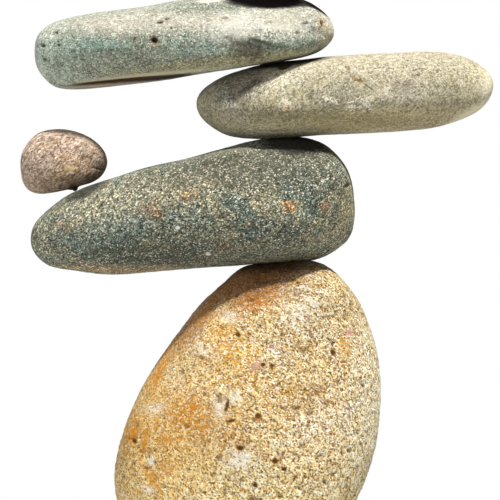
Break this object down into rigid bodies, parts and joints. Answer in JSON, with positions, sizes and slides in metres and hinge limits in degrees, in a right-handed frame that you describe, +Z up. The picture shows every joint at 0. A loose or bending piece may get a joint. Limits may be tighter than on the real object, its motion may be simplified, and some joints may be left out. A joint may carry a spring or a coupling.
{
  "type": "stone cairn",
  "caption": "Balanced cairn of water-worn stones: a tall buff boulder carries a wedge cobble, an oval cobble, a long slab and a capstone, with a pebble on the wedge's nose.",
  "frame": {"origin": "on the ground, under the middle of the cairn's bounding box", "axes": "+Z up, +X to the right along the long stones as seen from the front, +Y away from the viewer"},
  "size_m": [0.2373, 0.1079, 0.3393],
  "materials": {
    "buff_boulder": "dry coarse-grained buff stone, ochre and rust stains, fine open pits",
    "grey_wedge_cobble": "dry salt-and-pepper grey-green stone, pale and tan grains, bluish patches",
    "brown_pebble": "dry red-brown granular stone, cream and dark grains",
    "olive_oval_cobble": "dry olive-beige stone, pale scuffs, rust spots and scratches",
    "blue_grey_slab": "dry fine-grained blue-grey stone, pale worn top, small open vesicles",
    "dark_capstone": "dry dark charcoal stone, faint brown tint, fine grain"
  },
  "bodies": {
    "root": {"buff_boulder": "buff_boulder", "grey_wedge_cobble": "grey_wedge_cobble", "brown_pebble": "brown_pebble", "olive_oval_cobble": "olive_oval_cobble", "blue_grey_slab": "blue_grey_slab", "dark_capstone": "dark_capstone"}
  },
  "joints": []
}
